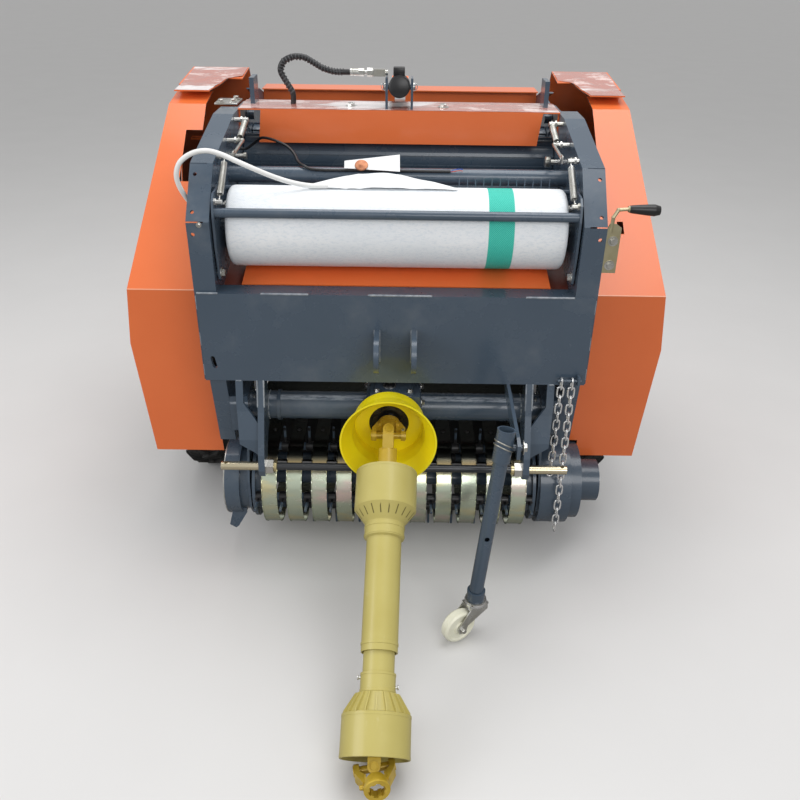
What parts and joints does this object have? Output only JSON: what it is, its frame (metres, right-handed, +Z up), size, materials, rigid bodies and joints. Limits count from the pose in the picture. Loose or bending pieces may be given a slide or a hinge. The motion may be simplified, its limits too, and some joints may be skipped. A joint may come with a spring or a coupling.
{
  "type": "round baler",
  "caption": "Small three-point-hitch round baler with net wrap, roller chamber, orange side covers, tined pickup, guarded drive shaft, road wheels and a castor parking stand.",
  "frame": {"origin": "on the floor, under the centre of the bounding box", "axes": "+X to the machine's right side as seen from the front, +Y to its rear, +Z up"},
  "size_m": [1.38, 1.7807, 1.239],
  "materials": {
    "frame_blue": "gloss",
    "cover_orange": "gloss",
    "guard_yellow": "satin",
    "zinc": "satin",
    "joint_steel": "satin",
    "joint_gold": "gloss",
    "hose_white": "satin",
    "black": "satin",
    "chrome": "polished",
    "net_white": "matte",
    "tyre_rubber": "matte",
    "wheel_cream": "satin"
  },
  "bodies": {
    "frame": {"side_plate_left": "frame_blue", "side_plate_right": "frame_blue", "front_beam": "frame_blue", "hitch_bracket_left": "frame_blue", "hitch_bracket_right": "frame_blue", "lower_link_shaft": "zinc", "drive_tube": "frame_blue", "gearbox": "frame_blue", "pto_guard_cone": "guard_yellow", "axle": "frame_blue", "front_cover_left": "cover_orange", "front_cover_right": "cover_orange", "top_panel": "cover_orange", "net_shelf": "cover_orange", "net_bar": "frame_blue", "feed_bar": "frame_blue", "tension_arms": "zinc", "cylinder_bracket": "frame_blue", "stripper_bands": "zinc", "pickup_side_left": "frame_blue", "pickup_side_right": "frame_blue", "net_lever": "black", "safety_chain": "zinc", "pto_input_yoke": "joint_gold", "white_hose": "hose_white", "black_cable": "black", "hydraulic_hose": "black"},
    "tailgate": {"tailgate_plate_left": "frame_blue", "tailgate_plate_right": "frame_blue", "tailgate_top": "cover_orange", "rear_cover_left": "cover_orange", "rear_cover_right": "cover_orange"},
    "wheel_left": {"tyre_left": "tyre_rubber", "rim_left": "frame_blue"},
    "wheel_right": {"tyre_right": "tyre_rubber", "rim_right": "frame_blue"},
    "cylinder_barrel": {"cylinder_barrel": "black"},
    "cylinder_rod": {"cylinder_rod": "chrome"},
    "pickup_reel": {"pickup_reel": "frame_blue"},
    "net_roll": {"net_roll": "net_white"},
    "stand": {"stand_tube": "frame_blue"},
    "castor_fork": {"castor_fork": "zinc"},
    "castor_wheel": {"castor_wheel": "wheel_cream"},
    "pto_cross": {"pto_cross": "joint_steel"},
    "pto_outer": {"pto_outer": "guard_yellow"},
    "pto_inner": {"pto_inner": "guard_yellow"},
    "pto_end_cross": {"pto_end_cross": "joint_steel"},
    "pto_end_yoke": {"pto_end_yoke": "joint_gold"},
    "front_roller_1": {"front_roller_1": "frame_blue"},
    "front_roller_2": {"front_roller_2": "frame_blue"},
    "front_roller_3": {"front_roller_3": "frame_blue"},
    "front_roller_4": {"front_roller_4": "frame_blue"},
    "front_roller_5": {"front_roller_5": "frame_blue"},
    "gate_roller_1": {"gate_roller_1": "frame_blue"},
    "gate_roller_2": {"gate_roller_2": "frame_blue"},
    "gate_roller_3": {"gate_roller_3": "frame_blue"},
    "gate_roller_4": {"gate_roller_4": "frame_blue"},
    "gate_roller_5": {"gate_roller_5": "frame_blue"},
    "gate_roller_6": {"gate_roller_6": "frame_blue"},
    "gate_roller_7": {"gate_roller_7": "frame_blue"}
  },
  "joints": [
    {"name": "wheel_left_spin", "type": "hinge", "parent": "frame", "child": "wheel_left", "pos_m": [-0.59, 0.3794, 0.2075], "axis": [1, 0, 0], "continuous": true},
    {"name": "wheel_right_spin", "type": "hinge", "parent": "frame", "child": "wheel_right", "pos_m": [0.59, 0.3794, 0.2075], "axis": [1, 0, 0], "continuous": true},
    {"name": "tailgate_hinge", "type": "hinge", "parent": "frame", "child": "tailgate", "pos_m": [0, 0.4794, 1.068], "axis": [1, 0, 0], "range_deg": [0, 75]},
    {"name": "cylinder_pitch", "type": "hinge", "parent": "frame", "child": "cylinder_barrel", "pos_m": [0, 0.3614, 1.165], "axis": [1, 0, 0], "range_deg": [0, 59.5]},
    {"name": "cylinder_stroke", "type": "slide", "parent": "cylinder_barrel", "child": "cylinder_rod", "axis": [0, 0.9918, -0.1275], "range_m": [-0.1589, 0]},
    {"name": "pickup_spin", "type": "hinge", "parent": "frame", "child": "pickup_reel", "pos_m": [0, -0.0206, 0.196], "axis": [1, 0, 0], "continuous": true},
    {"name": "net_roll_spin", "type": "hinge", "parent": "frame", "child": "net_roll", "pos_m": [0, 0.0144, 0.9], "axis": [1, 0, 0], "continuous": true},
    {"name": "front_roller_1_spin", "type": "hinge", "parent": "frame", "child": "front_roller_1", "pos_m": [0, 0.40513, 0.97788], "axis": [1, 0, 0], "continuous": true},
    {"name": "front_roller_2_spin", "type": "hinge", "parent": "frame", "child": "front_roller_2", "pos_m": [0, 0.28206, 0.91518], "axis": [1, 0, 0], "continuous": true},
    {"name": "front_roller_3_spin", "type": "hinge", "parent": "frame", "child": "front_roller_3", "pos_m": [0, 0.19894, 0.80487], "axis": [1, 0, 0], "continuous": true},
    {"name": "front_roller_4_spin", "type": "hinge", "parent": "frame", "child": "front_roller_4", "pos_m": [0, 0.17259, 0.66929], "axis": [1, 0, 0], "continuous": true},
    {"name": "front_roller_5_spin", "type": "hinge", "parent": "frame", "child": "front_roller_5", "pos_m": [0, 0.40513, 0.38212], "axis": [1, 0, 0], "continuous": true},
    {"name": "gate_roller_1_spin", "type": "hinge", "parent": "tailgate", "child": "gate_roller_1", "pos_m": [0, 0.54323, 0.37971], "axis": [1, 0, 0], "continuous": true},
    {"name": "gate_roller_2_spin", "type": "hinge", "parent": "tailgate", "child": "gate_roller_2", "pos_m": [0, 0.66841, 0.43808], "axis": [1, 0, 0], "continuous": true},
    {"name": "gate_roller_3_spin", "type": "hinge", "parent": "tailgate", "child": "gate_roller_3", "pos_m": [0, 0.75533, 0.54542], "axis": [1, 0, 0], "continuous": true},
    {"name": "gate_roller_4_spin", "type": "hinge", "parent": "tailgate", "child": "gate_roller_4", "pos_m": [0, 0.7864, 0.68], "axis": [1, 0, 0], "continuous": true},
    {"name": "gate_roller_5_spin", "type": "hinge", "parent": "tailgate", "child": "gate_roller_5", "pos_m": [0, 0.75533, 0.81458], "axis": [1, 0, 0], "continuous": true},
    {"name": "gate_roller_6_spin", "type": "hinge", "parent": "tailgate", "child": "gate_roller_6", "pos_m": [0, 0.66841, 0.92192], "axis": [1, 0, 0], "continuous": true},
    {"name": "gate_roller_7_spin", "type": "hinge", "parent": "tailgate", "child": "gate_roller_7", "pos_m": [0, 0.54323, 0.98029], "axis": [1, 0, 0], "continuous": true},
    {"name": "stand_fold", "type": "hinge", "parent": "frame", "child": "stand", "pos_m": [0.276, -0.3426, 0.51], "axis": [1, 0, 0], "range_deg": [-170, 0]},
    {"name": "castor_swivel", "type": "hinge", "parent": "stand", "child": "castor_fork", "pos_m": [0.204, -0.4016, 0.13], "axis": [0, 0, 1], "continuous": true},
    {"name": "castor_spin", "type": "hinge", "parent": "castor_fork", "child": "castor_wheel", "pos_m": [0.1632, -0.42689, 0.044], "axis": [0.5269, -0.8499, 0], "continuous": true},
    {"name": "pto_pitch", "type": "hinge", "parent": "frame", "child": "pto_cross", "pos_m": [-0.014, -0.1906, 0.44], "axis": [-1, 0, 0], "range_deg": [0, 35]},
    {"name": "pto_yaw", "type": "hinge", "parent": "pto_cross", "child": "pto_outer", "pos_m": [-0.014, -0.1906, 0.44], "axis": [0, -0.5173, 0.8558], "range_deg": [-13, 16]},
    {"name": "pto_slide", "type": "slide", "parent": "pto_outer", "child": "pto_inner", "axis": [-0.0192, -0.8557, -0.5172], "range_m": [-0.03, 0.15]},
    {"name": "pto_end_yaw", "type": "hinge", "parent": "pto_inner", "child": "pto_end_cross", "pos_m": [-0.0283, -0.82807, 0.0547], "axis": [0, -0.5173, 0.8558], "range_deg": [-25, 15]},
    {"name": "pto_end_pitch", "type": "hinge", "parent": "pto_end_cross", "child": "pto_end_yoke", "pos_m": [-0.0283, -0.82807, 0.0547], "axis": [0.9848, 0.1486, 0.0898], "range_deg": [0, 70]}
  ],
  "couplings": [
    {"joint": "cylinder_pitch", "follows": "tailgate_hinge", "ratio": 0.7794},
    {"joint": "cylinder_stroke", "follows": "tailgate_hinge", "m_per_rad": -0.12102},
    {"joint": "front_roller_2_spin", "follows": "front_roller_1_spin", "ratio": 1},
    {"joint": "front_roller_3_spin", "follows": "front_roller_1_spin", "ratio": 1},
    {"joint": "front_roller_4_spin", "follows": "front_roller_1_spin", "ratio": 1},
    {"joint": "front_roller_5_spin", "follows": "front_roller_1_spin", "ratio": 1},
    {"joint": "gate_roller_1_spin", "follows": "front_roller_1_spin", "ratio": 1},
    {"joint": "gate_roller_2_spin", "follows": "front_roller_1_spin", "ratio": 1},
    {"joint": "gate_roller_3_spin", "follows": "front_roller_1_spin", "ratio": 1},
    {"joint": "gate_roller_4_spin", "follows": "front_roller_1_spin", "ratio": 1},
    {"joint": "gate_roller_5_spin", "follows": "front_roller_1_spin", "ratio": 1},
    {"joint": "gate_roller_6_spin", "follows": "front_roller_1_spin", "ratio": 1},
    {"joint": "gate_roller_7_spin", "follows": "front_roller_1_spin", "ratio": 1}
  ]
}
